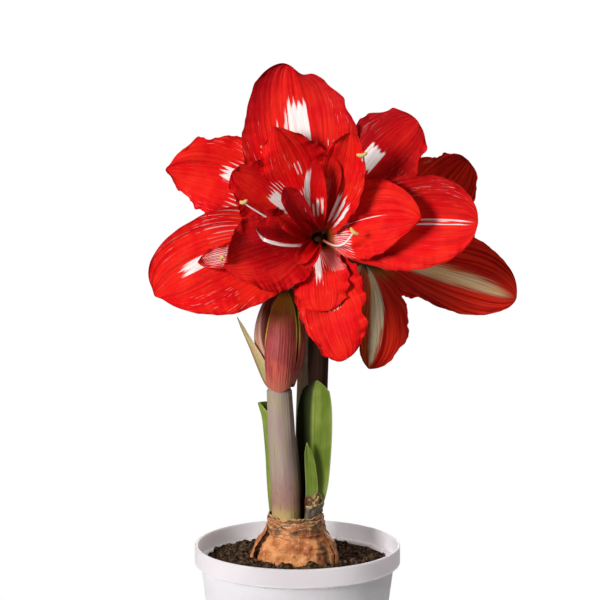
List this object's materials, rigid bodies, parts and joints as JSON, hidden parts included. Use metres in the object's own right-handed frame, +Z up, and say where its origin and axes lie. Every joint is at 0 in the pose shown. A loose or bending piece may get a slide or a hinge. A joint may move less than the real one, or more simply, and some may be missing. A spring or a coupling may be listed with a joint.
{
  "type": "potted amaryllis",
  "caption": "Amaryllis bulb in a round plastic pot, with leaves, a closed bud on its own stalk and double red and white blooms that look to the front and to the back.",
  "frame": {"origin": "centre of the pot's flat base", "axes": "+Z up along the pot's axis; the front bloom looks along -Y; +X to the right as seen from the front"},
  "size_m": [0.2595, 0.2162, 0.4745],
  "materials": {
    "pot_plastic": "smooth satin moulded plastic",
    "peat": "damp crumbly peat",
    "bulb_tunic": "dry papery skin, satin",
    "leaf": "fleshy leaf, satin",
    "scape": "fleshy stalk with a waxy bloom",
    "bud_sheath": "papery sheath, satin",
    "petal": "velvety petal with a soft sheen",
    "bract": "withered papery bract, matte"
  },
  "bodies": {
    "root": {"pot": "pot_plastic", "potting_soil": "peat", "bulb": "bulb_tunic", "leaf_stub_right": "leaf", "leaf_left": "leaf", "leaf_right_tall": "leaf", "leaf_right_short": "leaf", "scape_bud": "scape", "scape_bloom": "scape", "bud_spathe_front": "bud_sheath", "bud_spathe_back": "bud_sheath", "bud_flowers": "petal", "bud_bract": "bract", "spathe_dry_left": "bract", "spathe_dry_right": "bract", "pedicel_front": "scape", "pedicel_back": "scape", "bloom_front": "petal", "bloom_back": "petal"}
  },
  "joints": []
}
